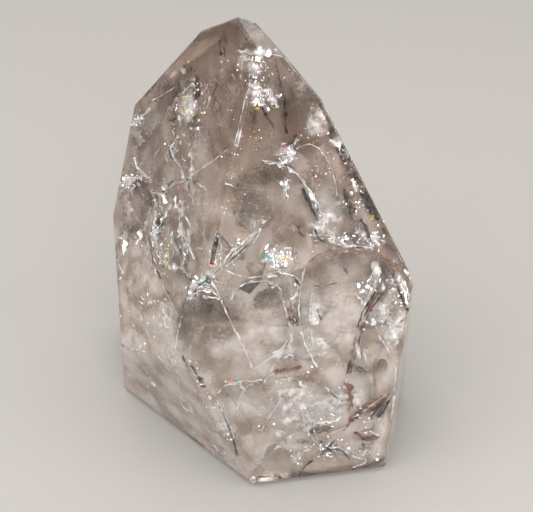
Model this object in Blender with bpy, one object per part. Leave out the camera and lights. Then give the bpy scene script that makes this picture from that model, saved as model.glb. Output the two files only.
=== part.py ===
"""A polished quartz point: one clear crystal ground to flat facets that rise to a blunt
tip, on a flat ground base. Lengths are in metres, +Z is up and the base rests on z = 0."""
import bpy
import bmesh
from math import cos, sin, radians
from mathutils import Vector, Matrix

MM = 0.001

# Driving dimensions of the crystal.
ROUGH_BLOCK = 220 * MM        # size of the rough block before any facet is ground
BASE_CHAMFER = 0.9 * MM       # narrow bevel ground round the base
EDGE_RADIUS = 0.35 * MM       # radius that polishing has given every facet edge
EDGE_FINENESS = 3             # subdivisions of the small ball that rounds the edges
WELD = 0.005 * MM             # corners closer than this are one corner
FLAT_ANGLE = 0.2              # degrees; faces closer than this lie in one facet


def facet_normal(facing, lean):
    """Outward direction of a facet: facing is the compass angle from +X towards +Y,
    lean is how far the facet tips back from upright, both in degrees."""
    level = cos(radians(lean))
    return Vector((level * cos(radians(facing)), level * sin(radians(facing)), sin(radians(lean))))


def grind(block, facing, lean, distance):
    """Grind one flat facet that will lie this many millimetres from the foot of the axis.
    The cut goes deeper by the edge radius, which the rounding further down gives back."""
    normal = facet_normal(facing, lean)
    depth = distance * MM - EDGE_RADIUS
    everything = list(block.verts) + list(block.edges) + list(block.faces)
    cut = bmesh.ops.bisect_plane(block, geom=everything, dist=WELD, plane_co=normal * depth,
                                 plane_no=normal, clear_outer=True, clear_inner=False)
    rim = [e for e in cut["geom_cut"] if isinstance(e, bmesh.types.BMEdge)]
    bmesh.ops.edgeloop_fill(block, edges=rim)
    bmesh.ops.recalc_face_normals(block, faces=list(block.faces))


# Start without any object that came with the empty file.
for old in list(bpy.data.objects):
    bpy.data.objects.remove(old, do_unlink=True)

block = bmesh.new()
bmesh.ops.create_cube(block, size=ROUGH_BLOCK)

# The flat ground base.
grind(block, 0, -90, 0)

# Front of the body, a low facet above the base and the long one that runs to the tip.
grind(block, -81.0, 7.0, 22.55)
grind(block, -81.5, 13.9, 25.00)

# Left front, flaring a little from the base and then tapering in two steps.
grind(block, -132.4, -9.9, 16.85)
grind(block, -147.2, 18.8, 26.85)
grind(block, -148.6, 20.2, 27.90)

# Narrow right side, with a small facet on the shoulder above it.
grind(block, -16.4, -0.3, 26.75)
grind(block, 10.0, 8.1, 26.50)
grind(block, 12.0, 16.1, 30.25)

# Right of the termination, two steps up to the tip.
grind(block, 22.0, 23.1, 30.85)
grind(block, 22.0, 35.6, 42.60)

# Left side and back left, from the base to the tip.
grind(block, -170.6, 3.0, 24.35)
grind(block, 163.0, 9.7, 30.60)
grind(block, 142.0, 41.2, 52.05)

# Back of the body and the two broad facets that close it above.
grind(block, 44.2, 3.0, 18.95)
grind(block, 99.0, 2.5, 22.05)
grind(block, 97.0, 38.0, 47.40)
grind(block, 62.0, 36.0, 42.25)

# Small facets of the blunt tip: front, back left and back right.
grind(block, -31.3, 72.0, 70.20)
grind(block, 125.0, 59.5, 63.75)
grind(block, 50.0, 61.8, 64.15)

bmesh.ops.remove_doubles(block, verts=list(block.verts), dist=WELD)

# The bevel round the base.
foot = EDGE_RADIUS + WELD
base_edges = [e for e in block.edges if all(v.co.z < foot for v in e.verts)]
bmesh.ops.bevel(block, geom=base_edges, offset=BASE_CHAMFER, offset_type="OFFSET", segments=1,
                profile=0.5, affect="EDGES", clamp_overlap=True, material=-1)

# Polishing has rounded every edge: the skin round small balls set at all the corners.
crystal_mesh = bmesh.new()
for corner in [v.co.copy() for v in block.verts]:
    bmesh.ops.create_icosphere(crystal_mesh, subdivisions=EDGE_FINENESS, radius=EDGE_RADIUS,
                               matrix=Matrix.Translation(corner))
block.free()
bmesh.ops.delete(crystal_mesh, geom=list(crystal_mesh.edges), context="EDGES_FACES")
bmesh.ops.convex_hull(crystal_mesh, input=list(crystal_mesh.verts))
inside = [v for v in crystal_mesh.verts if not v.link_faces]
bmesh.ops.delete(crystal_mesh, geom=inside, context="VERTS")
bmesh.ops.remove_doubles(crystal_mesh, verts=list(crystal_mesh.verts), dist=WELD)
bmesh.ops.dissolve_limit(crystal_mesh, angle_limit=radians(FLAT_ANGLE), verts=list(crystal_mesh.verts),
                         edges=list(crystal_mesh.edges))
bmesh.ops.recalc_face_normals(crystal_mesh, faces=list(crystal_mesh.faces))

# Move the finished shape so that the middle of its outline stands over the origin.
low = Vector([min(v.co[i] for v in crystal_mesh.verts) for i in range(3)])
high = Vector([max(v.co[i] for v in crystal_mesh.verts) for i in range(3)])
shift = Vector((-(low.x + high.x) / 2, -(low.y + high.y) / 2, -low.z))
bmesh.ops.translate(crystal_mesh, verts=list(crystal_mesh.verts), vec=shift)

mesh = bpy.data.meshes.new("quartz_point")
crystal_mesh.to_mesh(mesh)
crystal_mesh.free()
crystal = bpy.data.objects.new("quartz_point", mesh)
bpy.context.scene.collection.objects.link(crystal)

# Clear quartz with a faint grey mauve cast.
quartz = bpy.data.materials.new("clear_quartz")
quartz.use_nodes = True
shader = quartz.node_tree.nodes["Principled BSDF"]
shader.inputs["Base Color"].default_value = (0.80, 0.76, 0.76, 1.0)
shader.inputs["Roughness"].default_value = 0.03
shader.inputs["Metallic"].default_value = 0.0
crystal.data.materials.append(quartz)
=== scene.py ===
"""The polished quartz point on a pale floor: a clear crystal, ground to facets, full of fractures.
A place inside the stone is given as the view shows it, in pixels of a 533 by 512 picture, with a
depth in millimetres behind the facet that shows there. All other lengths are millimetres."""

import bpy
import bmesh
import random
from math import cos, sin, pi, radians, sqrt
from mathutils import Vector, Matrix, noise


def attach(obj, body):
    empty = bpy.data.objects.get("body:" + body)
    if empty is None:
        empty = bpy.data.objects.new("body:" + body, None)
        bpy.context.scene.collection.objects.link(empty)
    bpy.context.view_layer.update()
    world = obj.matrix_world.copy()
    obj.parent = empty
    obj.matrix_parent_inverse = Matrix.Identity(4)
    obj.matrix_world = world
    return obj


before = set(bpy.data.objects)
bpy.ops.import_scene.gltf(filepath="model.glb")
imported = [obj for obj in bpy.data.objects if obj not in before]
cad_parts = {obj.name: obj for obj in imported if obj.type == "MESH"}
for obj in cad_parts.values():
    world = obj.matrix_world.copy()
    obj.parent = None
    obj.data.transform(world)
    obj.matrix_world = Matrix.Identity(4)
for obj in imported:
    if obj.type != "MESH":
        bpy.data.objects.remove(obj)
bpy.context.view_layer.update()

MM = 0.001


def linear(code):
    """An sRGB hex colour as linear RGBA."""
    parts = [int(code[i:i + 2], 16) / 255 for i in (1, 3, 5)]
    return tuple(p / 12.92 if p <= 0.04045 else ((p + 0.055) / 1.055) ** 2.4 for p in parts) + (1.0,)


def add(tree, kind, settings=None, **inputs):
    """Add one node, set its fields and inputs, and return it."""
    node = tree.nodes.new(kind)
    for field, value in (settings or {}).items():
        setattr(node, field, value)
    for name, value in inputs.items():
        socket = node.inputs[name.replace("_", " ")]
        if isinstance(value, bpy.types.NodeSocket):
            tree.links.new(value, socket)
        else:
            socket.default_value = value
    return node


# The view: the camera stands in front of the crystal and looks down at it. Its place is fixed
# first, because the fractures are placed where it sees them.
PICTURE_WIDE, PICTURE_TALL = 533, 512
CAMERA_AT = Vector((2.02, -117.11, 124.66))
LOOK_DOWN = 38.5
SENSOR = 36.0
LENS = 60.8
FOCAL = LENS / SENSOR * PICTURE_WIDE
RIGHTWARD = Vector((1, 0, 0))
FORWARD = Vector((0, cos(radians(LOOK_DOWN)), -sin(radians(LOOK_DOWN))))
UPWARD = RIGHTWARD.cross(FORWARD)
lens = bpy.data.cameras.new("view")
lens.sensor_width = SENSOR
lens.lens = LENS
lens.clip_start = 0.01
lens.clip_end = 20
camera = bpy.data.objects.new("view", lens)
camera.location = CAMERA_AT * MM
camera.rotation_euler = (radians(90 - LOOK_DOWN), 0, 0)
bpy.context.scene.collection.objects.link(camera)
bpy.context.scene.camera = camera


def start_material(name, roughness):
    """A new material with its tree and its Principled shader."""
    made = bpy.data.materials.new(name)
    made.use_nodes = True
    shader = made.node_tree.nodes["Principled BSDF"]
    shader.inputs["Roughness"].default_value = roughness
    return made, made.node_tree, shader


# The crystal: clear rock crystal with a faint grey mauve cast, polished on every facet. The
# polish leaves very shallow waves, about 4 mm across, that bend what is seen through it.
QUARTZ_IOR = 1.544
quartz, tree, glass = start_material("clear_quartz", 0.0)
glass.inputs["Base Color"].default_value = linear("#ffffff")
glass.inputs["IOR"].default_value = QUARTZ_IOR
glass.inputs["Transmission Weight"].default_value = 1.0
place = add(tree, "ShaderNodeTexCoord").outputs["Object"]
waves = add(tree, "ShaderNodeTexNoise", Vector=place, Scale=240.0, Detail=1.0, Roughness=0.4)
polish = add(tree, "ShaderNodeBump", Strength=0.25, Distance=0.00006, Height=waves.outputs["Fac"])
tree.links.new(polish.outputs["Normal"], glass.inputs["Normal"])
absorb = add(tree, "ShaderNodeVolumeAbsorption", Color=linear("#e2c8b5"), Density=17.5)
tree.links.new(absorb.outputs["Volume"], tree.nodes["Material Output"].inputs["Volume"])
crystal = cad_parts["quartz_point"]
crystal.data.materials.clear()
crystal.data.materials.append(quartz)

# Its facets as planes, each an outward direction and a distance from the foot of the axis.
LEAST_FACET = 1.0 * MM * MM
facets = []
for face in crystal.data.polygons:
    if face.area > LEAST_FACET and all(face.normal.dot(n) < 0.9995 for n, reach in facets):
        facets.append((Vector(face.normal), face.center.dot(face.normal) / MM))


# Cloudy sheets: the stone is full of fine healed cracks that lie roughly along its facets. They
# scatter light as a grey mauve haze, mottled every 5 mm or so, browner towards the tip and whiter
# lower down.
SKIN = 0.25                   # nothing comes nearer to a facet than this
GAP = 0.03                    # between the two walls of a break
CLOUD_GAP = 0.05              # between the two walls of a cloudy sheet


def gather():
    """An empty mesh with the two layers that every kind of fracture uses."""
    made = bmesh.new()
    made.verts.layers.float.new("fade")
    made.loops.layers.uv.new("UVMap")
    return made


def trim(sheet, skin=SKIN):
    """Cut a sheet back to this far under the crystal's facets."""
    for normal, reach in facets:
        if any(v.co.dot(normal) > reach - skin for v in sheet.verts):
            parts = list(sheet.verts) + list(sheet.edges) + list(sheet.faces)
            bmesh.ops.bisect_plane(sheet, geom=parts, dist=1e-4, plane_co=normal * (reach - skin),
                                   plane_no=normal, clear_outer=True, clear_inner=False)


def keep(made, sheet, gap):
    """Give a sheet its two walls, this far apart, and add it to the gathered mesh in metres."""
    if sheet.faces:
        bmesh.ops.triangulate(sheet, faces=[f for f in sheet.faces if len(f.verts) > 4])
        sheet.normal_update()
        wall = bmesh.ops.extrude_face_region(sheet, geom=list(sheet.faces), use_keep_orig=True)
        for v in wall["geom"]:
            if isinstance(v, bmesh.types.BMVert):
                v.co += v.normal * gap
        bmesh.ops.recalc_face_normals(sheet, faces=list(sheet.faces))
        bmesh.ops.scale(sheet, vec=(MM, MM, MM), verts=list(sheet.verts))
        for f in sheet.faces:
            f.smooth = True
        scratch = bpy.data.meshes.new("one_sheet")
        sheet.to_mesh(scratch)
        made.from_mesh(scratch)
        bpy.data.meshes.remove(scratch)
    sheet.free()


def finish_piece(made, name, *materials):
    """Turn a gathered mesh into a piece that rides with the crystal."""
    mesh = bpy.data.meshes.new(name)
    made.to_mesh(mesh)
    made.free()
    piece = bpy.data.objects.new(name, mesh)
    bpy.context.scene.collection.objects.link(piece)
    for material in materials:
        mesh.materials.append(material)
    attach(piece, "root")


cloudy, tree, haze = start_material("cloudy_sheet", 0.6)
place = add(tree, "ShaderNodeTexCoord").outputs["Object"]
height = add(tree, "ShaderNodeSeparateXYZ", Vector=place)
low_down = add(tree, "ShaderNodeMapRange", Value=height.outputs["Z"], From_Min=10 * MM, From_Max=40 * MM,
               To_Min=0.75, To_Max=0.0)
clouds = add(tree, "ShaderNodeTexNoise", Vector=place, Scale=220.0, Detail=3.0, Roughness=0.55)
denser = add(tree, "ShaderNodeMapRange", Value=height.outputs["Z"], From_Min=40 * MM, From_Max=60 * MM,
             To_Min=0.0, To_Max=0.22)
paler = add(tree, "ShaderNodeMath", {"operation": "ADD"})
tree.links.new(clouds.outputs["Fac"], paler.inputs[0])
tree.links.new(low_down.outputs["Result"], paler.inputs[1])
either = add(tree, "ShaderNodeMath", {"operation": "ADD"})
tree.links.new(paler.outputs["Value"], either.inputs[0])
tree.links.new(denser.outputs["Result"], either.inputs[1])
tone = add(tree, "ShaderNodeValToRGB", Fac=clouds.outputs["Fac"])
ramp = tone.color_ramp
ramp.elements[0].position, ramp.elements[0].color = 0.36, linear("#baa594")
ramp.elements[1].position, ramp.elements[1].color = 0.62, linear("#fbf0e8")
cover = add(tree, "ShaderNodeMapRange", Value=either.outputs["Value"], From_Min=0.30, From_Max=0.95,
            To_Min=0.07, To_Max=0.50)
high_up = add(tree, "ShaderNodeMapRange", Value=height.outputs["Z"], From_Min=30 * MM, From_Max=60 * MM,
              To_Min=0.0, To_Max=1.0)
browner = add(tree, "ShaderNodeMixRGB", {"blend_type": "MULTIPLY"}, Fac=high_up.outputs["Result"],
              Color1=tone.outputs["Color"], Color2=linear("#b9a89e"))
thick = add(tree, "ShaderNodeAttribute", {"attribute_name": "fade"})
faded = add(tree, "ShaderNodeMath", {"operation": "MULTIPLY", "use_clamp": True})
tree.links.new(cover.outputs["Result"], faded.inputs[0])
tree.links.new(thick.outputs["Fac"], faded.inputs[1])
tree.links.new(browner.outputs["Color"], haze.inputs["Base Color"])
tree.links.new(faded.outputs["Value"], haze.inputs["Alpha"])

MIDDLE = Vector((0, 0, 34))
SHEET_DEPTH = 3.2             # behind its facet
SHEET_REACH = 42              # half the width of a sheet before it is trimmed
SHEET_GRID = 3.0
SHEET_SWELL = 1.6
FADE_OUT = 3.0                # a sheet thins out this close to the next facet
made = gather()
# Every second facet has a sheet. The base and the flat of the tip have none.
for k, (normal, reach) in enumerate(facets):
    if normal.z < -0.5 or normal.z > 0.8 or k % 2:
        continue
    sheet = gather()
    fade = sheet.verts.layers.float["fade"]
    steps = int(2 * SHEET_REACH / SHEET_GRID)
    bmesh.ops.create_grid(sheet, x_segments=steps, y_segments=steps, size=SHEET_REACH)
    level = Vector((0, 0, 1)).cross(normal).normalized()
    upward = normal.cross(level)
    centre = MIDDLE + normal * (reach - SHEET_DEPTH - MIDDLE.dot(normal))
    drift = Vector((17.3 * k, 0, 3.7))
    for v in sheet.verts:
        here = centre + level * v.co.x + upward * v.co.y
        v.co = here + normal * SHEET_SWELL * noise.noise(here * 0.09 + drift)
    trim(sheet, 0.8)
    for v in sheet.verts:
        margin = min(r - v.co.dot(n) for n, r in facets if n.dot(normal) < 0.97)
        v[fade] = min(1.0, max(0.0, margin / FADE_OUT))
    keep(made, sheet, CLOUD_GAP)
finish_piece(made, "cloudy_sheets_outer", cloudy)


# Smoky domes: shell-shaped breaks whose walls hold fine brown grey specks, each about a quarter of
# a millimetre, thick under the crown and thinning downwards.
def way_out(start, toward):
    """How far it is from a place inside the stone to its skin, going this way."""
    return min((reach - start.dot(n)) / toward.dot(n) for n, reach in facets if toward.dot(n) > 1e-6)


def seen(px, py, depth):
    """The place this deep behind the facet seen at a pixel, the ray there, as quartz bends it, and
    the way that facet faces."""
    ray = FORWARD + RIGHTWARD * (px - PICTURE_WIDE / 2) / FOCAL + UPWARD * (PICTURE_TALL / 2 - py) / FOCAL
    ray.normalize()
    meets = [((reach - CAMERA_AT.dot(n)) / ray.dot(n), k) for k, (n, reach) in enumerate(facets)
             if ray.dot(n) < -1e-6]
    enter, k = max(meets)
    normal = facets[k][0]
    facing = -ray.dot(normal)
    bent = ray / QUARTZ_IOR + normal * (facing / QUARTZ_IOR - sqrt(1 - (1 - facing ** 2) / QUARTZ_IOR ** 2))
    foot = CAMERA_AT + ray * enter
    return foot + bent * max(0.3, min(depth, way_out(foot, bent) - 0.8)), bent, normal


def lying(normal, turn):
    """Width, height and facing of a sheet that lies along a facet, turned in its plane."""
    level = Vector((0, 0, 1)).cross(normal).normalized()
    upward = normal.cross(level)
    width = level * cos(radians(turn)) + upward * sin(radians(turn))
    return width, normal.cross(width), normal


def shell(made, centre, axes, wide, tall, dome, gap, seed, curl=0.0, crown=0.0, firm=3.0, spacing=0.4):
    """Add one conchoidal break: a domed, faintly rippled sheet with a ragged outline. Its fade
    falls off at the rim, firm or soft, and by crown from the top downwards."""
    sheet = gather()
    fade = sheet.verts.layers.float["fade"]
    steps = max(6, int(max(wide, tall) / spacing))
    bmesh.ops.create_grid(sheet, x_segments=steps, y_segments=steps, size=1.0)
    width, height, normal = axes
    pick = random.Random(seed)
    hub = Vector((pick.uniform(-1.3, 1.3), pick.uniform(-1.3, 1.3)))
    wave = pick.uniform(1.6, 2.6)
    drift = Vector([pick.uniform(0, 50) for k in range(3)])
    for v in sheet.verts:
        s, t = v.co.x, v.co.y
        u, w = s * sqrt(1 - t * t / 2), t * sqrt(1 - s * s / 2)
        rim = u * u + w * w
        outline = 1 + 0.22 * noise.noise(Vector((1.6 * u, 1.6 * w, 0)) + drift)
        outline += 0.05 * noise.noise(Vector((7 * u, 7 * w, 3)) + drift)
        x, y = u * outline * wide / 2, w * outline * tall / 2
        here = Vector((x, y, 0))
        rings = sin(pi * (Vector((u, w)) - hub).length * max(wide, tall) / wave)
        lift = -dome * rim - curl * rim ** 5 + 0.035 * rings * (0.3 + 0.7 * rim)
        lift += 0.40 * noise.noise(here * 0.17 + drift) + 0.05 * noise.noise(here * 0.8 + drift)
        v.co = centre + width * x + height * y + normal * lift
        v[fade] = max(0.0, min(1.0, 1.0 - crown * (0.55 - w)))
        v[fade] *= max(0.0, min(1.0, firm * (1.02 - sqrt(rim))))
    trim(sheet)
    keep(made, sheet, gap)


smoke_film, tree, film = start_material("smoke_film", 0.4)
place = add(tree, "ShaderNodeTexCoord").outputs["Object"]
specks = add(tree, "ShaderNodeTexNoise", Vector=place, Scale=2000.0, Detail=2.0, Roughness=0.7)
clouds = add(tree, "ShaderNodeTexNoise", Vector=place, Scale=420.0, Detail=2.0, Roughness=0.5)
tone = add(tree, "ShaderNodeValToRGB", Fac=clouds.outputs["Fac"])
tone.color_ramp.elements[0].position, tone.color_ramp.elements[0].color = 0.38, linear("#40342d")
tone.color_ramp.elements[1].position, tone.color_ramp.elements[1].color = 0.62, linear("#87715f")
grains = add(tree, "ShaderNodeMapRange", Value=specks.outputs["Fac"], From_Min=0.43, From_Max=0.53,
             To_Min=0.12, To_Max=1.0)
thick = add(tree, "ShaderNodeAttribute", {"attribute_name": "fade"})
cover = add(tree, "ShaderNodeMath", {"operation": "MULTIPLY"})
tree.links.new(grains.outputs["Result"], cover.inputs[0])
tree.links.new(thick.outputs["Fac"], cover.inputs[1])
tree.links.new(tone.outputs["Color"], film.inputs["Base Color"])
tree.links.new(cover.outputs["Value"], film.inputs["Alpha"])
# Each row: pixel across and down, depth, turn in the facet's plane, width, height, dome.
SMOKY = {
    "right arch": (352, 272, 1.4, 0, 16, 7, 1.2),
    "right arch, upper right": (382, 275, 1.2, -40, 5, 7, 0.5),
    "left dome": (219, 322, 1.0, -20, 8, 11, 0.8),
    "left dome, crown": (206, 304, 0.9, -20, 6, 5, 0.4),
    "left dome, left side": (188, 330, 1.0, 10, 7, 11, 0.5),
    "middle dome": (262, 297, 1.0, 0, 9.5, 6.0, 0.6),
    "middle dome, crown": (255, 293, 0.9, 0, 7, 3.5, 0.3),
    "upper middle": (252, 205, 1.3, 0, 7, 11, 0.6),
    "upper middle, crown": (262, 176, 1.1, 0, 7, 4, 0.3),
    "upper middle, right": (266, 182, 1.6, -20, 7, 7, 0.6),
    "ledge over the lower cell": (288, 370, 1.0, 8, 5, 1.4, 0.2),
    "lower cell": (302, 441, 1.2, 10, 5, 2.4, 0.2),
    "lower cell, right": (320, 430, 1.2, 0, 4, 2.2, 0.2),
    "below the wedge": (350, 206, 1.2, -20, 2.4, 6, 0.3),
    "right low corner": (381, 412, 1.0, 30, 3.4, 4, 0.3),
    "belt, under": (372, 368, 1.0, 0, 6, 3.4, 0.3),
    "tip, right": (266, 38, 1.0, 0, 6, 5, 0.2),
    "under the tip": (240, 35, 1.2, 0, 6, 5, 0.3),
    "left shoulder": (165, 100, 1.5, 30, 6, 8, 0.4),
    "front, high": (236, 120, 2.2, 0, 5, 7, 0.3),
    "right of the clear patch": (305, 100, 1.5, 10, 5, 8, 0.4),
}
made = gather()
for i, (px, py, depth, turn, wide, tall, dome) in enumerate(SMOKY.values()):
    centre, ray, facing = seen(px, py, depth)
    shell(made, centre, lying(facing, turn), wide, tall, dome, GAP, 450 + i, crown=0.7)
finish_piece(made, "smoky_films", smoke_film)


# Milky patches: close clouds of white healed cracks just under the facets, soft at the rim, 1 to
# 13 mm wide, most of them in the lower half of the stone. A few are painted highlights: white put
# where the stone shows a glint, at the big silver oval, the silver knot, the left rim, the bright
# slashes at the top, the small bright triangle, the sparkle by the ridge and the warm flare.
milk_and_glint, tree, haze = start_material("milk_and_glint_patch", 0.5)
place = add(tree, "ShaderNodeTexCoord").outputs["Object"]
grain = add(tree, "ShaderNodeTexNoise", Vector=place, Scale=700.0, Detail=4.0, Roughness=0.62)
tone = add(tree, "ShaderNodeValToRGB", Fac=grain.outputs["Fac"])
tone.color_ramp.elements[0].position, tone.color_ramp.elements[0].color = 0.38, linear("#cdc2bc")
tone.color_ramp.elements[1].position, tone.color_ramp.elements[1].color = 0.60, linear("#fffaf6")
wisps = add(tree, "ShaderNodeMapRange", Value=grain.outputs["Fac"], From_Min=0.34, From_Max=0.70,
            To_Min=0.20, To_Max=0.90)
thick = add(tree, "ShaderNodeAttribute", {"attribute_name": "fade"})
cover = add(tree, "ShaderNodeMath", {"operation": "MULTIPLY"})
tree.links.new(wisps.outputs["Result"], cover.inputs[0])
tree.links.new(thick.outputs["Fac"], cover.inputs[1])
tree.links.new(tone.outputs["Color"], haze.inputs["Base Color"])
tree.links.new(cover.outputs["Value"], haze.inputs["Alpha"])
# Each row: pixel across and down, depth, turn in the facet's plane, width, height.
# Painted highlights stand among these rows: big silver oval, small bright triangle, silver knot, left rim,
# the three slashes at the top, the sparkle by the ridge and the warm flare put white where the stone
# glints.
MILK_AND_GLINT = {
    "big silver oval": (277, 258, 2.6, 0, 4.6, 4.2),
    "middle of the right arch": (332, 338, 1.4, 0, 10, 7),
    "right arch, upper": (340, 305, 1.8, 0, 11, 9),
    "right arch, left": (318, 325, 1.6, 0, 6, 11),
    "low middle, second": (300, 425, 1.6, 0, 13, 9),
    "right of the strip, wide": (388, 320, 1.2, 0, 5, 11),
    "under the ledge, wide": (290, 395, 1.4, 0, 10, 5),
    "low middle, wide": (275, 435, 1.4, 0, 9, 6),
    "low right, wide": (345, 400, 1.4, 0, 8, 6),
    "middle right": (325, 220, 1.8, 0, 6, 8),
    "right arch, low": (318, 352, 2.0, 0, 7, 3.5),
    "right of the long strip": (388, 330, 1.4, -20, 4, 6),
    "edge of the right facet": (396, 328, 0.8, -20, 3.6, 7),
    "small bright triangle": (382, 288, 1.0, 0, 1.4, 2.2),
    "right arch, right": (376, 272, 1.2, 0, 1.6, 3.5),
    "under the middle dome": (268, 345, 1.8, 0, 7, 5),
    "middle dome, low": (282, 352, 1.8, -20, 5, 4),
    "left facet wedge": (153, 383, 1.2, -20, 2.2, 3.4),
    "foot, left": (216, 448, 1.2, -15, 2.6, 2.4),
    "foot, left, wide": (224, 430, 1.8, -20, 5, 6),
    "foot, middle": (281, 445, 1.2, 0, 2.0, 2.0),
    "foot, middle, wide": (290, 410, 1.8, 0, 9, 7),
    "foot, right": (297, 457, 1.2, 0, 3.0, 2.6),
    "over the star": (327, 422, 1.2, 0, 4.0, 1.8),
    "over the star, wide": (330, 405, 1.8, 0, 8, 6),
    "right of the star": (362, 452, 1.4, 0, 5, 4),
    "silver knot, left": (194, 287, 1.2, -40, 2.0, 2.6),
    "frost by the curl": (174, 268, 1.4, 0, 2.0, 1.8),
    "left rim": (127, 181, 0.8, 0, 2.6, 2.2),
    "left shoulder": (134, 123, 0.8, 0, 1.7, 1.5),
    "shoulder, upper": (148, 111, 0.8, 0, 1.2, 0.9),
    "bright slash at the top": (256, 91, 1.2, -20, 1.3, 2.6),
    "second slash": (271, 97, 1.2, 0, 0.9, 2.3),
    "third slash": (276, 101, 1.2, 0, 0.7, 1.8),
    "upper knot": (287, 155, 1.2, 20, 2.2, 2.6),
    "drop below the knot": (286, 188, 1.2, 0, 1.1, 2.2),
    "band under the tip": (258, 54, 1.0, 0, 4.2, 0.9),
    "haze under the tip": (247, 62, 1.4, 0, 5, 3),
    "right rim": (355, 186, 1.0, 0, 0.9, 1.8),
    "right rim, low": (375, 240, 1.0, 0, 1.7, 1.8),
    "sparkle by the ridge": (188, 108, 1.4, 20, 4.2, 5.2),
    "warm flare": (183, 71, 1.0, 0, 1.8, 1.1),
    "lower left facet": (128, 345, 1.0, 0, 2.4, 1.4),
    "right flank": (330, 205, 2.2, -20, 5, 8),
    "right flank, upper": (318, 120, 2.0, -20, 4, 6),
    "left flank, middle": (165, 320, 2.0, -20, 6, 8),
    "foot of the left facets": (185, 405, 1.8, -20, 8, 7),
}
MILK_DOME = 0.25
made = gather()
for i, (px, py, depth, turn, wide, tall) in enumerate(MILK_AND_GLINT.values()):
    centre, ray, facing = seen(px, py, depth)
    shell(made, centre, lying(facing, turn), wide, tall, MILK_DOME, GAP, 700 + i, firm=1.5, spacing=0.3)
finish_piece(made, "milk_and_glint_patches", milk_and_glint)


# Open breaks: thin air gaps inside the stone, clear where they are faced and mirrors where they
# are seen at a slant. The large ones make the rounded cells, the small ones the silver slivers.
def leaning(ray, tilt, toward):
    """Width, height and facing of a sheet turned to the viewer, then tipped by tilt degrees towards a
    direction of the picture, where 0 is right and 90 is up."""
    right = (RIGHTWARD - ray * RIGHTWARD.dot(ray)).normalized()
    up = right.cross(ray)
    lean = right * cos(radians(toward)) + up * sin(radians(toward))
    normal = -ray * cos(radians(tilt)) + lean * sin(radians(tilt))
    along = lean * cos(radians(tilt)) + ray * sin(radians(tilt))
    return along.cross(normal), along, normal


air_gap, tree, air = start_material("air_gap", 0.0)
air.inputs["Base Color"].default_value = linear("#ffffff")
air.inputs["IOR"].default_value = 1 / QUARTZ_IOR
air.inputs["Transmission Weight"].default_value = 1.0
place = add(tree, "ShaderNodeTexCoord").outputs["Object"]
grain = add(tree, "ShaderNodeTexNoise", Vector=place, Scale=1300.0, Detail=3.0, Roughness=0.6)
pits = add(tree, "ShaderNodeBump", Strength=0.4, Distance=0.00007, Height=grain.outputs["Fac"])
tree.links.new(pits.outputs["Normal"], air.inputs["Normal"])
# Each row: pixel across and down, depth, tilt, the way it tips, width, height, dome.
BREAKS = {
    "right arch": (360, 285, 5, 34, 92, 17, 13, 2.4),
    "middle dome": (262, 306, 5, 28, 90, 10, 9, 1.2),
    "long strip": (364, 335, 3, 74, 15, 24, 4, 1.0),
    "upper middle": (256, 204, 4, 22, 85, 6, 8, 0.8),
    "lower cell": (300, 415, 5, 38, 80, 13, 9, 1.0),
    "left cell": (150, 320, 5, 40, 170, 8, 13, 1.0),
    "pointed sliver": (240, 250, 2.5, 64, 137, 6, 1.2, 0.2),
    "silver oval": (279, 257, 3, 44, 90, 5, 5, 0.8),
    "curved crack, left": (150, 240, 3, 76, 180, 12, 3, 1.6),
    "second curve": (182, 250, 3, 72, 165, 7, 3, 0.9),
    "sparkle by the ridge": (186, 108, 3.5, 50, 150, 5, 5, 0.5),
    "ridge crack": (172, 146, 3.5, 72, 170, 6, 3, 0.6),
    "double crack": (313, 203, 3, 76, 20, 6, 3, 0.3),
    "wedge": (347, 203, 3, 68, 20, 4, 2.5, 0.3),
    "right chain": (365, 232, 3, 70, 40, 4, 3, 0.3),
    "top slashes": (262, 92, 2.5, 56, 160, 4, 3, 0.3),
    "chain by the dome": (294, 310, 3, 76, 0, 8, 3, 0.8),
    "star": (328, 447, 2, 58, 90, 4, 3, 0.3),
    "low right": (362, 425, 3, 62, 115, 7, 5, 0.6),
}
CURL = 0.3                    # how far the rim of a break bends back
made = gather()
for i, (px, py, depth, tilt, toward, wide, tall, dome) in enumerate(BREAKS.values()):
    centre, ray, facing = seen(px, py, depth)
    shell(made, centre, leaning(ray, tilt, toward), wide, tall, dome, GAP, 100 + i, curl=CURL)
finish_piece(made, "open_breaks", air_gap)

# Deep breaks: the same air gaps at random right through the stone, behind the ones in front. They
# give the clear parts something broken to show.
DEEP_COUNT = 16
made = gather()
pick = random.Random(7)
for i in range(DEEP_COUNT):
    z = pick.uniform(6, 60)
    reach = 15 * (1 - z / 90)
    centre = Vector((pick.uniform(-reach, reach), pick.uniform(-0.2, 0.9) * reach, z))
    ray = Vector((pick.gauss(0, 1), pick.gauss(0, 1), pick.gauss(0, 0.6))).normalized()
    axes = leaning(ray, pick.uniform(0, 60), pick.uniform(0, 360))
    wide = pick.uniform(6, 12)
    tall = pick.uniform(5, 9)
    dome = pick.uniform(0.4, 1.6)
    shell(made, centre, axes, wide, tall, dome, GAP, 500 + i, curl=CURL)
finish_piece(made, "deep_breaks", air_gap)


# Cracks seen edge on: narrow strips that run into the stone from a line. The rough wall shows
# as silver strands with darker ones between them, about half a millimetre wide, which is drawn
# coarser than the real ones so that they show. Much of that silver and dark is painted into the
# wall's colours: painted highlight for the glint of a crack's air gap and painted shade for its
# dark reflections, over a wall that is partly a real mirror.
STEP = 1.3                    # pixels between the points of a line
ACROSS = 4                    # faces across a strip


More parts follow.
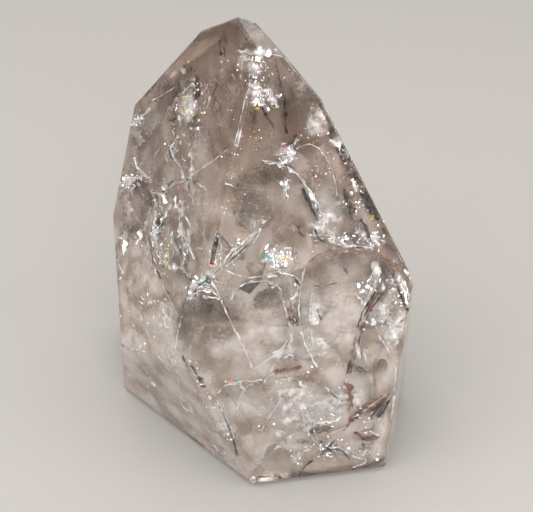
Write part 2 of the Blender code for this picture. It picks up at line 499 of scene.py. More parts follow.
def smooth_line(points):
    """A smooth curve through the given pixels, with a point every STEP pixels or so."""
    ends = [points[0]] + list(points) + [points[-1]]
    line = []
    for a, b, c, d in zip(ends, ends[1:], ends[2:], ends[3:]):
        a, b, c, d = (Vector(p) for p in (a, b, c, d))
        count = max(1, round((c - b).length / STEP))
        for k in range(count):
            t = k / count
            line.append(0.5 * (2 * b + (c - a) * t + (2 * a - 5 * b + 4 * c - d) * t ** 2
                               + (3 * b - a - 3 * c + d) * t ** 3))
    line.append(Vector(points[-1]))
    return line


def strip(made, path, inward, width, lean, seed):
    """Add one crack: a strip along a path, its other direction running inward and tipped aside
    by lean degrees, with a torn wall and pointed ends."""
    sheet = gather()
    uv = sheet.loops.layers.uv["UVMap"]
    last = len(path) - 1
    if last < 2:
        sheet.free()
        return
    bmesh.ops.create_grid(sheet, x_segments=last, y_segments=ACROSS, size=1.0)
    length = sum((b - a).length for a, b in zip(path, path[1:]))
    drift = Vector((1.7 * seed, 2.3 * seed, 0.9 * seed))
    upright = -1 if (path[-1] - path[0]).cross(inward).z < 0 else 1
    for f in sheet.faces:
        for corner in f.loops:
            corner[uv].uv = ((corner.vert.co.x + 1) / 2 * length + 3.1 * seed, corner.vert.co.y * width / 2)
    for v in sheet.verts:
        i = round((v.co.x + 1) / 2 * last)
        share = i / last
        tangent = (path[min(last, i + 1)] - path[max(0, i - 1)]).normalized()
        side = tangent.cross(inward).normalized() * upright
        cross = inward * cos(radians(lean)) + side * sin(radians(lean))
        wall = tangent.cross(cross).normalized()
        along = share * length
        ragged = max(0.12, 0.55 + 1.6 * noise.noise(Vector((along * 1.3, v.co.y * 0.6, 0)) + drift))
        taper = min(1.0, 4.5 * sqrt(share * (1 - share)) + 0.06)
        torn = 0.16 * noise.noise(Vector((along * 1.1, v.co.y * 0.8, 5)) + drift)
        torn += 0.07 * noise.noise(Vector((along * 3.5, v.co.y * 2, 9)) + drift)
        v.co = path[i] + cross * (v.co.y * width / 2 * ragged * taper) + wall * torn * min(1.0, width)
    trim(sheet)
    keep(made, sheet, GAP)


def strand_material(name, roughness, mirror, colours, cover_from, cover_to):
    """A torn crack wall: colours laid in strands along the strip, with clear gaps between. The
    mirror share of it reflects like the air gap behind a real crack."""
    made, tree, wall = start_material(name, roughness)
    wall.inputs["Metallic"].default_value = mirror
    on_strip = add(tree, "ShaderNodeTexCoord").outputs["UV"]
    drawn = add(tree, "ShaderNodeMapping", Vector=on_strip, Scale=(0.5, 1.9, 1.0))
    strands = add(tree, "ShaderNodeTexNoise", Vector=drawn.outputs["Vector"], Scale=1.0, Detail=3.0,
                  Roughness=0.6)
    tone = add(tree, "ShaderNodeValToRGB", Fac=strands.outputs["Fac"])
    ramp = tone.color_ramp
    ramp.elements[0].position, ramp.elements[0].color = colours[0][0], linear(colours[0][1])
    ramp.elements[1].position, ramp.elements[1].color = colours[-1][0], linear(colours[-1][1])
    for where, code in colours[1:-1]:
        ramp.elements.new(where).color = linear(code)
    gaps = add(tree, "ShaderNodeTexNoise", Vector=drawn.outputs["Vector"], Scale=1.7, Detail=2.0)
    cover = add(tree, "ShaderNodeMapRange", Value=gaps.outputs["Fac"], From_Min=cover_from,
                From_Max=cover_to, To_Min=0.0, To_Max=1.0)
    torn = add(tree, "ShaderNodeBump", Strength=0.6, Distance=0.00008, Height=strands.outputs["Fac"])
    tree.links.new(torn.outputs["Normal"], wall.inputs["Normal"])
    tree.links.new(tone.outputs["Color"], wall.inputs["Base Color"])
    tree.links.new(cover.outputs["Result"], wall.inputs["Alpha"])
    return made


def draw_cracks(made, rows, lean, share, seed):
    """Add every crack of a list. A row gives its width, its depth and the pixels it runs through.
    This share of the width is drawn."""
    for i, (width, depth, points) in enumerate(rows.values()):
        places = [seen(p.x, p.y, depth) for p in smooth_line(points)]
        inward = sum((ray for place, ray, facing in places), Vector()).normalized()
        strip(made, [place for place, ray, facing in places], inward, width * share, lean, seed + i)


# Painted highlight and painted shade: the white and the near-black strands of this wall stand in for the
# glint and the dark reflections of a crack; its metallic share is a real mirror.
silver_strands = strand_material("silver_strands", 0.3, 0.8, (
    (0.34, "#3a3330"), (0.41, "#a9a5a6"), (0.47, "#f4f4f8"), (0.58, "#ffffff")), 0.33, 0.41)
SILVER = {
    "band under the tip": (1.6, 1.0, [(238, 50), (246, 52), (258, 54), (271, 55)]),
    "ticks under the tip": (1.6, 1.0, [(243, 57), (252, 62), (257, 70)]),
    "curl by the ridge": (1.4, 1.2, [(182, 94), (188, 88), (193, 84), (196, 91)]),
    "ridge tick": (1.4, 1.2, [(210, 96), (208, 102), (207, 108)]),
    "ridge drop": (2.0, 1.2, [(179, 115), (180, 120), (180, 126)]),
    "ridge crack": (2.2, 1.6, [(173, 130), (174, 140), (171, 150), (175, 159), (181, 168), (184, 178)]),
    "left shoulder, slash": (1.2, 1.0, [(157, 124), (154, 127), (152, 131)]),
    "left shoulder": (2.0, 0.8, [(131, 126), (137, 121), (144, 114), (151, 109)]),
    "top slash": (2.4, 1.2, [(251, 84), (256, 90), (260, 100), (263, 106)]),
    "top slash, second": (2.0, 1.2, [(270, 88), (271, 96), (272, 104)]),
    "top slash, third": (1.6, 1.2, [(275, 94), (276, 101), (278, 108)]),
    "beside the clear patch": (1.4, 1.2, [(273, 128), (271, 134), (270, 139)]),
    "upper knot": (2.6, 1.4, [(297, 138), (293, 145), (292, 156), (286, 163), (277, 163)]),
    "upper knot, twig": (1.8, 1.4, [(280, 150), (287, 148), (294, 143)]),
    "arch of the oval": (1.6, 1.4, [
        (262, 160), (275, 163), (290, 168), (300, 178),
        (307, 187), (314, 199), (320, 217)]),
    "double crack": (1.4, 1.4, [(304, 185), (311, 191), (317, 203), (322, 215)]),
    "drop below the knot": (2.0, 1.2, [(288, 179), (287, 187), (283, 198)]),
    "right rim": (1.8, 1.0, [(353, 178), (355, 185), (358, 192)]),
    "left rim, upper": (1.6, 1.0, [(135, 157), (138, 168), (146, 176), (152, 182)]),
    "left rim, sparkle": (2.4, 0.8, [(122, 184), (128, 180), (135, 177), (142, 178)]),
    "branch of the curve": (2.0, 1.3, [(150, 192), (160, 192), (168, 187), (177, 183), (192, 178)]),
    "specks of the branch": (1.4, 1.2, [(197, 183), (202, 186), (207, 190)]),
    "curved crack": (2.8, 1.6, [(152, 207), (147, 222), (145, 234), (149, 244), (151, 252)]),
    "curved crack, inner": (2.2, 1.4, [(160, 205), (163, 212), (162, 220), (158, 236), (155, 240)]),
    "bright slash": (1.8, 1.0, [(171, 204), (167, 211), (163, 219)]),
    "second curve": (2.2, 1.4, [(172, 231), (173, 243), (179, 253), (183, 266), (190, 279)]),
    "third curve": (1.8, 1.4, [(187, 228), (189, 240), (191, 250), (194, 260)]),
    "curl": (1.4, 1.2, [(176, 238), (183, 233), (187, 240), (184, 248), (179, 246)]),
    "frost": (1.6, 1.2, [(166, 262), (173, 270), (180, 268), (185, 272)]),
    "spike, left": (0.6, 1.2, [(217, 231), (213, 248), (208, 266)]),
    "spike, right": (0.6, 1.2, [(218, 232), (221, 250), (220, 267)]),
    "sliver, upper": (1.1, 1.2, [(261, 228), (244, 241), (227, 257), (222, 268)]),
    "sliver, middle": (0.9, 1.2, [(257, 232), (244, 246), (231, 257)]),
    "sliver, lower": (1.0, 1.2, [(260, 231), (247, 248), (225, 267)]),
    "sliver tip": (0.8, 1.2, [(238, 237), (236, 245), (231, 252)]),
    "junction": (2.8, 1.4, [(222, 267), (213, 274), (203, 279), (197, 285), (189, 295)]),
    "junction, twig": (2.0, 1.4, [(203, 279), (196, 291), (188, 298)]),
    "dash over the dome": (1.6, 1.0, [(215, 279), (219, 282), (223, 284)]),
    "dash, right": (2.0, 1.0, [(267, 275), (272, 275), (277, 277)]),
    "dash, right, lower": (2.0, 1.0, [(267, 284), (272, 285), (278, 286)]),
    "bar on the dome": (1.8, 1.0, [(202, 296), (211, 297), (220, 299)]),
    "chain, upper right": (2.4, 1.2, [
        (313, 231), (320, 236), (328, 235),
        (337, 239), (347, 245), (357, 245)]),
    "chain, second": (1.8, 1.2, [(317, 240), (326, 238), (335, 243), (346, 247), (360, 246), (373, 248)]),
    "right cluster": (2.4, 1.0, [(362, 231), (370, 236), (376, 243), (380, 250)]),
    "right cluster, upper": (1.6, 1.0, [(356, 222), (359, 229), (354, 233)]),
    "bright edge in the arch": (2.2, 1.2, [(372, 262), (376, 270), (376, 279), (371, 292), (361, 306)]),
    "arch specks": (1.8, 1.2, [(353, 293), (359, 297), (364, 304)]),
    "chain by the dome": (2.2, 1.3, [(295, 277), (298, 287), (294, 300), (291, 313), (295, 322)]),
    "below the chain": (1.4, 1.3, [(293, 328), (291, 340), (284, 352), (276, 362), (265, 379)]),
    "little arch": (1.4, 1.0, [(279, 363), (285, 357), (292, 355), (302, 362)]),
    "tick, left of it": (1.6, 1.0, [(262, 383), (268, 376), (274, 373)]),
    "under the ledge": (1.8, 1.0, [(274, 381), (282, 379), (292, 378), (300, 382), (306, 388)]),
    "right facet edge": (1.6, 0.8, [(398, 276), (401, 284), (405, 294), (408, 306)]),
    "right facet, low": (2.0, 0.8, [(388, 322), (393, 330), (398, 340), (395, 349)]),
    "needle": (1.4, 1.0, [(325, 386), (333, 393), (342, 401)]),
    "shard tip": (1.4, 1.0, [(345, 377), (345, 383), (344, 389)]),
    "brown cracks, bright one": (1.5, 0.9, [(353, 417), (363, 411), (376, 402), (388, 394)]),
    "lens, upper": (1.4, 0.9, [(353, 430), (362, 433), (372, 432), (379, 436)]),
    "over the star": (2.0, 1.0, [(313, 425), (322, 422), (332, 421), (341, 416)]),
    "star to the left": (1.6, 1.0, [(303, 413), (305, 426), (313, 438), (322, 447)]),
    "star, right": (1.4, 0.9, [(329, 448), (340, 447), (352, 455), (367, 460)]),
    "base, right": (1.6, 0.8, [(352, 467), (359, 465), (367, 461)]),
    "foot, right": (2.0, 1.0, [(291, 462), (297, 457), (303, 452), (311, 449)]),
    "white line, left facet": (1.8, 1.0, [(167, 350), (173, 368), (177, 378), (180, 392)]),
    "left facet, tick": (1.6, 0.9, [(139, 311), (141, 316), (143, 321)]),
    "left facet, hair": (1.3, 0.9, [(162, 304), (165, 314), (170, 322), (174, 332)]),
    "left edge, hair": (1.2, 0.8, [(117, 259), (120, 266), (124, 274)]),
    "left facet, low streak": (1.6, 0.8, [(121, 344), (127, 347), (133, 349)]),
    "foot, left": (2.2, 1.0, [(211, 440), (216, 448), (222, 453), (226, 460)]),
    "rainbow ticks": (1.6, 0.9, [(229, 383), (234, 384), (241, 386), (246, 392)]),
}
made = gather()
draw_cracks(made, SILVER, lean=56, share=0.44, seed=20)
finish_piece(made, "silver_cracks", silver_strands)

# Dark cracks: wider open, and seen more nearly edge on, with a few silver strands. Their near
# black is painted shade in the wall's colour, standing in for the little light that such a crack
# sends back.
# Painted shade: the near-black colours of this wall stand in for the dark look of an open crack seen edge
# on.
dark_strands = strand_material("dark_strands", 0.3, 0.3, (
    (0.40, "#120d0b"), (0.54, "#2a201c"), (0.62, "#6f625c"), (0.70, "#e6e4e8")), 0.34, 0.46)
DARK = {
    "tip mark": (1.8, 0.9, [(220, 40), (220, 47), (221, 56)]),
    "tip mark, second": (1.2, 0.9, [(224, 47), (225, 55), (225, 57)]),
    "long crack": (1.6, 1.4, [(276, 58), (278, 73), (284, 93), (285, 112), (287, 134)]),
    "beside the clear patch": (1.2, 1.4, [(262, 108), (268, 117), (273, 128)]),
    "ridge crack": (1.4, 1.6, [(172, 134), (172, 142), (169, 152), (174, 160)]),
    "ridge spot": (1.4, 1.6, [(190, 131), (193, 134), (194, 138)]),
    "upper knot": (1.4, 1.4, [(298, 134), (294, 140), (290, 145)]),
    "double crack": (1.9, 1.4, [(303, 188), (307, 197), (311, 206), (318, 221)]),
    "wedge": (2.6, 1.3, [(343, 189), (346, 200), (351, 214)]),
    "wedge, second": (1.6, 1.3, [(347, 192), (350, 203), (355, 212)]),
    "right cluster": (2.0, 1.1, [(360, 219), (366, 229), (373, 241)]),
    "chain": (1.4, 1.2, [(315, 229), (318, 236), (325, 242)]),
    "chain, left end": (1.4, 1.2, [(297, 226), (300, 232), (302, 237)]),
    "knot of the curve": (3.0, 1.4, [(149, 191), (151, 198), (152, 208)]),
    "knot, second": (1.8, 1.4, [(155, 193), (157, 199), (158, 204)]),
    "branch": (1.4, 1.3, [(157, 195), (166, 188), (174, 179)]),
    "branch, left": (1.2, 1.2, [(143, 188), (147, 184), (149, 183)]),
    "curved crack": (1.5, 1.6, [(149, 236), (151, 250), (154, 262), (161, 279)]),
    "curve, inner": (1.0, 1.4, [(160, 222), (159, 231), (157, 240)]),
    "second curve": (1.2, 1.4, [(174, 238), (181, 252), (186, 268), (191, 281)]),
    "curve, dots": (1.0, 1.4, [(164, 288), (168, 292), (172, 298)]),
    "spike": (0.5, 1.2, [(218, 233), (216, 250), (212, 265)]),
    "spike, right": (0.8, 1.2, [(219, 234), (225, 240), (231, 248)]),
    "sliver": (0.6, 1.2, [(259, 231), (245, 247), (229, 262)]),
    "junction": (1.2, 1.3, [(220, 268), (211, 277), (200, 284), (192, 292)]),
    "by the dome": (1.6, 1.2, [(293, 274), (296, 280), (300, 286)]),
    "chain by the dome": (1.4, 1.3, [(293, 318), (295, 323), (297, 319)]),
    "arch, inner": (1.4, 1.4, [(340, 263), (344, 268), (349, 275)]),
    "arch, scratches": (1.2, 1.4, [(317, 309), (320, 317), (324, 326)]),
    "strip, left edge": (1.0, 1.2, [
        (383, 281), (371, 299), (361, 315),
        (356, 334), (351, 355), (346, 375)]),
    "strip, right edge": (1.0, 1.2, [
        (385, 290), (375, 304), (367, 317),
        (361, 333), (356, 353), (350, 374)]),
    "right facet": (1.6, 0.9, [(396, 282), (401, 296), (407, 311)]),
    "left facet line": (1.2, 1.1, [(182, 355), (188, 367), (197, 380), (203, 388)]),
    "foot line": (1.2, 1.0, [(213, 397), (223, 413), (231, 434), (238, 456)]),
    "needle": (1.0, 1.0, [(326, 388), (334, 395), (343, 402)]),
    "low right, fan": (2.4, 0.9, [(389, 393), (384, 401), (377, 409), (370, 418)]),
    "low right, fan, second": (2.0, 0.9, [(389, 400), (385, 409), (377, 418)]),
    "lens, lower": (1.6, 0.9, [(354, 432), (363, 439), (371, 440), (379, 437)]),
    "star": (1.2, 1.0, [(321, 441), (328, 448), (336, 455)]),
    "star, second": (1.2, 1.0, [(321, 455), (328, 448), (335, 440)]),
    "star, low": (1.2, 0.9, [(312, 460), (306, 466), (301, 471)]),
    "star, right": (1.2, 0.9, [(333, 447), (343, 452), (350, 460)]),
    "base speck": (1.0, 0.8, [(259, 477), (265, 477), (270, 476)]),
    "loops": (1.2, 0.9, [(362, 443), (365, 448), (362, 453)]),
}
made = gather()
draw_cracks(made, DARK, lean=20, share=0.9, seed=120)
finish_piece(made, "dark_cracks", dark_strands)

# Rusty cracks: a few cracks low on the right and round the arch hold a reddish brown stain, so
# they are matt and mirror little.
rusty_strands = strand_material("rusty_strands", 0.35, 0.1, (
    (0.38, "#4a2a1e"), (0.50, "#8a5640"), (0.60, "#b58a72"), (0.72, "#efe6e2")), 0.33, 0.44)
RUSTY = {
    "rim of the right arch": (1.2, 1.4, [
        (304, 269), (312, 258), (325, 252), (343, 248),
        (366, 249), (386, 258), (400, 273)]),
    "rim, second": (1.4, 1.4, [(318, 256), (330, 259), (342, 252), (358, 252)]),
    "ledge in the arch": (0.6, 1.2, [(313, 287), (325, 285), (337, 283)]),
    "right facet patch": (2.2, 0.9, [(389, 314), (397, 320), (405, 318)]),
    "ledge over the cell": (2.2, 1.0, [(275, 374), (284, 370), (302, 366)]),
    "chain by the dome": (1.2, 1.2, [(291, 305), (292, 315), (294, 320)]),
    "shard": (2.4, 1.0, [(344, 381), (349, 391), (350, 401), (349, 410)]),
    "long strip": (2.0, 1.3, [(385, 283), (373, 300), (364, 315), (358, 333), (353, 354), (348, 374)]),
    "brown cracks": (2.2, 1.0, [(354, 418), (361, 411), (368, 407), (377, 402), (384, 397)]),
    "brown cracks, left": (2.0, 1.0, [(343, 431), (350, 421), (357, 415), (362, 409)]),
    "brown cracks, upper": (2.0, 1.0, [(358, 410), (367, 404), (376, 402)]),
    "lens": (1.8, 0.9, [(355, 432), (364, 437), (378, 437)]),
    "spot under the tip": (1.8, 1.0, [(231, 72), (234, 76), (233, 80)]),
    "wedge": (1.2, 1.2, [(350, 194), (353, 203), (357, 210)]),
}
made = gather()
draw_cracks(made, RUSTY, lean=50, share=0.62, seed=220)
finish_piece(made, "rusty_cracks", rusty_strands)

# Pale cracks: cracks that have closed again and the rims of the shells, which show as thin light
# lines.
pale_strands = strand_material("pale_strands", 0.4, 0.5, (
    (0.36, "#c9c1c0"), (0.48, "#f0ecee"), (0.60, "#ffffff")), 0.34, 0.54)
PALE = {
    "clear patch, left": (1.0, 1.2, [(250, 92), (244, 118), (238, 147)]),
    "line to the ridge": (1.0, 1.0, [(228, 149), (214, 160), (203, 167), (190, 177)]),
    "shoulder line": (1.0, 1.0, [(176, 86), (164, 94), (151, 101)]),
    "oval, top": (1.0, 1.2, [(295, 149), (305, 145), (317, 147), (327, 160), (334, 176), (337, 196)]),
    "oval, left": (1.0, 1.2, [(301, 180), (313, 196), (321, 214)]),
    "left dome, left": (1.6, 1.2, [(188, 297), (182, 316), (177, 336), (175, 350)]),
    "left dome, right": (1.6, 1.2, [(210, 277), (219, 296), (230, 320), (242, 344), (253, 369)]),
    "left dome, top": (1.4, 1.2, [(188, 298), (198, 291), (210, 290), (221, 298)]),
    "middle dome, left": (1.6, 1.2, [
        (231, 300), (234, 290), (247, 283),
        (262, 281), (276, 284), (282, 294)]),
    "middle dome, right": (1.6, 1.2, [(281, 288), (284, 303), (289, 323), (291, 338)]),
    "middle dome, foot": (1.4, 1.2, [(253, 369), (264, 362), (278, 352), (290, 338)]),
    "over the domes": (1.2, 1.2, [(222, 268), (240, 276), (258, 277), (276, 272), (296, 276)]),
    "arch, left": (1.8, 1.2, [(305, 268), (301, 284), (299, 305), (301, 330), (308, 350), (318, 368)]),
    "arch, inner left": (1.2, 1.2, [(312, 292), (310, 312), (312, 335), (313, 347)]),
    "right facet, wedge": (1.4, 1.0, [(374, 318), (378, 333), (386, 347), (392, 357)]),
    "cell, left": (1.6, 1.2, [(237, 417), (238, 402), (243, 391), (252, 383)]),
    "cell, over": (1.4, 1.2, [(216, 394), (227, 385), (242, 381), (255, 381), (264, 378)]),
    "cell, band": (1.6, 1.2, [(281, 401), (270, 415), (261, 431)]),
    "foot, band": (1.4, 1.0, [(216, 400), (227, 419), (234, 438)]),
    "left facet, long": (1.2, 1.2, [(160, 281), (170, 300), (180, 320)]),
    "left facet, lower": (1.2, 1.2, [(146, 330), (156, 352), (170, 372)]),
    "star, left band": (1.4, 1.0, [(270, 455), (284, 440), (300, 432)]),
    "star, up": (1.2, 1.0, [(320, 447), (312, 425), (306, 408)]),
    "right edge": (1.0, 0.8, [(397, 358), (395, 383), (391, 420)]),
}
made = gather()
draw_cracks(made, PALE, lean=56, share=0.27, seed=320)
finish_piece(made, "pale_cracks", pale_strands)


# Cracks of the other sides: the same kinds, at random under the facets that the view doesn't
# show, so the stone looks as broken from the back and the sides.
BACK_COUNT = 150
BACK_SEED = 31
BACK_STEP = 0.22              # from one point of a crack to the next
UNSEEN = (-20, 215)           # degrees round from +X that the view doesn't show
back = [gather(), gather(), gather()]
pick = random.Random(BACK_SEED)
for i in range(BACK_COUNT):
    z = pick.uniform(3, 62)
    heading = radians(pick.uniform(*UNSEEN))
    outward = Vector((cos(heading), sin(heading), 0.25)).normalized()
    heart = Vector((0, 1, z))
    skin = way_out(heart, outward)
    spot = heart + outward * (skin - pick.uniform(1.4, 5.0))
    inward = -outward
    level = Vector((0, 0, 1)).cross(outward).normalized()
    upward = outward.cross(level)
    turn = pick.uniform(0, 2 * pi)
    bend = pick.gauss(0, 0.10)
    path = []
    for k in range(pick.randint(12, 46)):
        path.append(spot.copy())
        turn += bend + pick.gauss(0, 0.10)
        spot = spot + (level * cos(turn) + upward * sin(turn)) * BACK_STEP
    kind = pick.choice((0, 0, 0, 1, 1, 2))
    strip(back[kind], path, inward, pick.uniform(1.0, 2.6), pick.uniform(20, 40), 400 + i)
# The silver back cracks carry the same painted highlight and painted shade as those in front.
finish_piece(back[0], "back_silver_cracks", silver_strands)
# The dark back cracks carry the same painted shade.
finish_piece(back[1], "back_dark_cracks", dark_strands)
finish_piece(back[2], "back_rusty_cracks", rusty_strands)


# Glints: flakes of the crack walls, 0.2 to 1.6 mm, that catch the light along the cracks. Most are
# silver white, and a few show rainbow colours where the gap is thin enough.
silver, tree, shine = start_material("silver_flake", 0.22)
shine.inputs["Metallic"].default_value = 0.9
place = add(tree, "ShaderNodeTexCoord").outputs["Object"]
spread = add(tree, "ShaderNodeTexNoise", Vector=place, Scale=900.0, Detail=2.0)
tone = add(tree, "ShaderNodeValToRGB", Fac=spread.outputs["Fac"])
tone.color_ramp.elements[0].position, tone.color_ramp.elements[0].color = 0.3, linear("#d9dbe2")
tone.color_ramp.elements[1].position, tone.color_ramp.elements[1].color = 0.5, linear("#ffffff")
tree.links.new(tone.outputs["Color"], shine.inputs["Base Color"])
rainbow, tree, shine = start_material("rainbow_flake", 0.3)
shine.inputs["Metallic"].default_value = 0.7
place = add(tree, "ShaderNodeTexCoord").outputs["Object"]
bands = add(tree, "ShaderNodeTexNoise", Vector=place, Scale=700.0, Detail=1.0)
tone = add(tree, "ShaderNodeValToRGB", Fac=bands.outputs["Fac"])
ramp = tone.color_ramp
ramp.elements[0].position, ramp.elements[0].color = 0.30, linear("#7fa4ff")
ramp.elements[1].position, ramp.elements[1].color = 0.72, linear("#ff9fd0")
for where, code in ((0.40, "#7df0ea"), (0.48, "#f4fb60"), (0.55, "#ffd060"), (0.63, "#f07ae0")):
    ramp.elements.new(where).color = linear(code)
tree.links.new(tone.outputs["Color"], shine.inputs["Base Color"])
# Each row: pixel across and down, depth, half width and half height in pixels, count, largest
# flake, share of coloured ones.
GLINTS = {
    "sparkle by the ridge": (190, 105, 1.4, 16, 18, 110, 0.6, 0.22),
    "ridge, lower": (180, 140, 1.6, 14, 20, 70, 0.5, 0.10),
    "ridge, upper": (200, 85, 1.4, 12, 8, 30, 0.4, 0.10),
    "left rim": (128, 181, 0.8, 9, 6, 80, 0.9, 0.03),
    "left rim, upper": (145, 172, 1.0, 14, 10, 40, 0.4, 0.03),
    "left shoulder": (138, 119, 0.8, 8, 6, 50, 0.9, 0.03),
    "curve": (158, 225, 1.5, 10, 24, 90, 0.5, 0.08),
    "rainbow by the curve": (166, 254, 1.3, 5, 8, 26, 0.7, 0.85),
    "curls": (182, 246, 1.5, 8, 14, 70, 0.45, 0.03),
    "junction": (197, 286, 1.3, 8, 9, 70, 0.8, 0.02),
    "sliver": (236, 250, 1.2, 12, 10, 40, 0.45, 0.02),
    "spike": (216, 260, 1.2, 7, 8, 30, 0.4, 0.02),
    "left facets": (150, 320, 1.2, 30, 50, 110, 0.42, 0.05),
    "left facets, low": (170, 375, 1.2, 28, 32, 90, 0.45, 0.08),
    "foot, left": (203, 402, 1.2, 9, 26, 90, 0.45, 0.25),
    "foot, left, low": (220, 440, 1.1, 10, 16, 60, 0.45, 0.05),
    "rainbow ticks": (234, 383, 1.0, 7, 3, 18, 0.6, 0.6),
    "under the ledge": (290, 380, 1.0, 18, 6, 40, 0.5, 0.12),
    "foot, middle": (275, 430, 1.3, 34, 28, 130, 0.45, 0.06),
    "foot, right": (298, 456, 1.0, 10, 7, 60, 0.5, 0.03),
    "star": (330, 448, 1.0, 14, 10, 110, 0.5, 0.04),
    "over the star": (327, 422, 1.0, 16, 7, 60, 0.45, 0.02),
    "right foot": (362, 452, 1.0, 16, 12, 60, 0.45, 0.02),
    "low right cracks": (365, 420, 1.0, 18, 12, 50, 0.5, 0.02),
    "right arch": (335, 325, 1.6, 24, 30, 110, 0.42, 0.03),
    "arch, right": (372, 285, 1.2, 12, 16, 90, 0.7, 0.04),
    "right facet": (395, 300, 0.9, 8, 26, 70, 0.7, 0.03),
    "chain by the dome": (295, 305, 1.3, 6, 28, 60, 0.4, 0.05),
    "silver oval": (278, 258, 1.0, 11, 9, 260, 1.1, 0.05),
    "below the oval": (300, 255, 1.4, 16, 12, 60, 0.4, 0.03),
    "chain, right": (340, 240, 1.2, 24, 8, 110, 0.5, 0.05),
    "right cluster": (373, 240, 1.0, 8, 9, 60, 0.6, 0.04),
    "rainbow, right": (379, 219, 0.9, 7, 5, 30, 0.6, 0.6),
    "wedge": (352, 202, 1.2, 7, 14, 40, 0.45, 0.05),
    "right rim": (360, 185, 1.0, 8, 30, 60, 0.45, 0.10),
    "right flank": (330, 110, 1.2, 24, 26, 110, 0.4, 0.06),
    "right flank, middle": (325, 175, 1.6, 18, 26, 60, 0.35, 0.04),
    "upper knot": (287, 155, 1.2, 9, 10, 90, 0.75, 0.06),
    "top slashes": (264, 96, 1.2, 12, 12, 80, 0.8, 0.04),
    "under the tip": (250, 62, 1.2, 22, 10, 70, 0.4, 0.02),
    "top": (262, 76, 1.2, 20, 12, 50, 0.4, 0.03),
    "clear patch": (258, 135, 1.6, 10, 16, 24, 0.4, 0.35),
    "middle": (252, 190, 1.8, 20, 22, 50, 0.32, 0.25),
    "dome, right side": (286, 188, 1.2, 4, 8, 40, 0.8, 0.02),
    "all over, upper": (225, 170, 1.6, 70, 70, 120, 0.30, 0.10),
    "all over, lower": (270, 360, 1.6, 100, 70, 220, 0.32, 0.08),
}
LIFT = Vector((0, 0, 0.5))    # flakes face the viewer, turned up by this
FLAKE_SCALE = 1.5             # flakes are drawn this much larger than listed, so that they show
made = gather()
pick = random.Random(21)


def flake(batch, spot, outward, size, coloured):
    """One thin flake that faces roughly the given way."""
    normal = (outward + Vector([pick.gauss(0, 0.45) for k in range(3)])).normalized()
    turn = normal.to_track_quat("Z", "Y").to_matrix().to_4x4()
    turn = turn @ Matrix.Rotation(pick.uniform(0, pi), 4, "Z")
    stretch = Matrix.Diagonal((1.0, pick.uniform(0.25, 0.8), 0.12, 1.0))
    scrap = bmesh.ops.create_icosphere(batch, subdivisions=1, radius=size * MM / 2,
                                       matrix=Matrix.Translation(spot * MM) @ turn @ stretch)
    for f in {f for v in scrap["verts"] for f in v.link_faces}:
        f.material_index = 1 if coloured else 0


def flake_size(largest):
    """A size picked at random, more often a small one."""
    return (0.42 + 0.58 * pick.random() ** 2) * largest


def pour(batch):
    """Add a batch of flakes to the whole."""
    scratch = bpy.data.meshes.new("one_batch")
    batch.to_mesh(scratch)
    batch.free()
    made.from_mesh(scratch)
    bpy.data.meshes.remove(scratch)


for px, py, depth, half_wide, half_tall, count, largest, share in GLINTS.values():
    batch = bmesh.new()
    for i in range(count):
        spot, ray, facing = seen(px + pick.gauss(0, 0.55) * half_wide, py + pick.gauss(0, 0.55) * half_tall,
                         depth * pick.uniform(0.7, 1.8))
        size = flake_size(largest) * FLAKE_SCALE
        if all(spot.dot(n) < reach - SKIN - size / 2 for n, reach in facets):
            flake(batch, spot, (LIFT - ray).normalized(), size, pick.random() < share)
    pour(batch)
BACK_GLINTS = 700
BACK_LARGEST = 0.5            # the largest flake there
BACK_COLOURED = 0.08          # the share of coloured ones there
batch = bmesh.new()
for i in range(BACK_GLINTS):
    z = pick.uniform(2, 66)
    heading = radians(pick.uniform(*UNSEEN))
    outward = Vector((cos(heading), sin(heading), pick.uniform(-0.1, 0.5))).normalized()
    heart = Vector((0, 1, z))
    skin = way_out(heart, outward)
    size = flake_size(BACK_LARGEST)
    flake(batch, heart + outward * (skin - pick.uniform(0.8, 4.0)), outward, size,
          pick.random() < BACK_COLOURED)
pour(batch)
finish_piece(made, "glints", silver, rainbow)


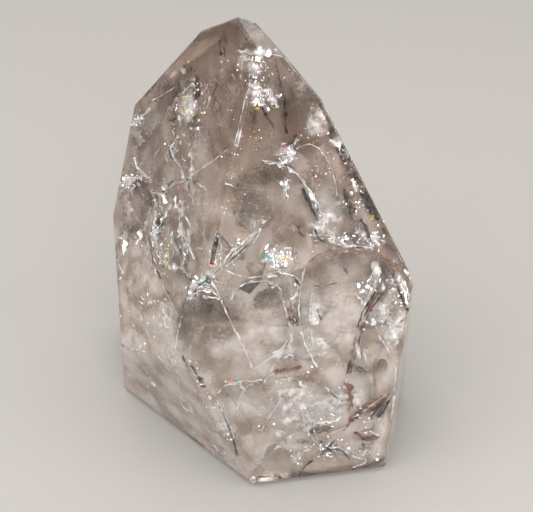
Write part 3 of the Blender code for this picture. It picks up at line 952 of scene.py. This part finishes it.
# The floor: a plain pale sheet just under the crystal, 6 m across, so that its far edge lies well
# behind the stone in every view.
FLOOR_HALF = 3.0
FLOOR_DROP = 0.05 * MM
floor_material, tree, floor_shader = start_material("pale_floor", 0.7)
floor_shader.inputs["Base Color"].default_value = linear("#7a7773")
made = bmesh.new()
bmesh.ops.create_grid(made, x_segments=1, y_segments=1, size=FLOOR_HALF,
                      matrix=Matrix.Translation((0, 0, -FLOOR_DROP)))
mesh = bpy.data.meshes.new("floor")
made.to_mesh(mesh)
made.free()
mesh.materials.append(floor_material)
floor = bpy.data.objects.new("floor", mesh)
bpy.context.scene.collection.objects.link(floor)

# Plain soft studio light: a large soft box above to the left, a larger one overhead, smaller ones
# at the right and in front, and an even surround.
world = bpy.data.worlds.new("studio")
world.use_nodes = True
world.node_tree.nodes["Background"].inputs["Color"].default_value = linear("#edebe8")
world.node_tree.nodes["Background"].inputs["Strength"].default_value = 1.1
bpy.context.scene.world = world


def soft_box(name, at, size, power):
    """A square area light, its size in metres and its power in watts, aimed at the crystal."""
    lamp = bpy.data.lights.new(name, "AREA")
    lamp.shape = "SQUARE"
    lamp.size = size
    lamp.energy = power
    holder = bpy.data.objects.new(name, lamp)
    bpy.context.scene.collection.objects.link(holder)
    holder.location = at
    holder.rotation_euler = (Vector((0, 0, 0.035)) - Vector(at)).to_track_quat("-Z", "Y").to_euler()


soft_box("key", (-0.30, -0.15, 0.50), 0.60, 5.2)
soft_box("overhead", (0.05, 0.15, 0.65), 0.90, 4.6)
soft_box("side", (0.45, -0.20, 0.25), 0.35, 2.0)
soft_box("front", (0.10, -0.42, 0.30), 0.30, 2.3)

# Rays pass many walls inside the stone, so they may bend and pass through often. Light that comes
# back from the haze needs two bounces at most.
cycles = bpy.context.scene.cycles
cycles.max_bounces = 22
cycles.diffuse_bounces = 2
cycles.transmission_bounces = 22
cycles.glossy_bounces = 12
cycles.transparent_max_bounces = 80
cycles.caustics_refractive = True
cycles.caustics_reflective = True
bpy.context.scene.view_settings.view_transform = "Standard"
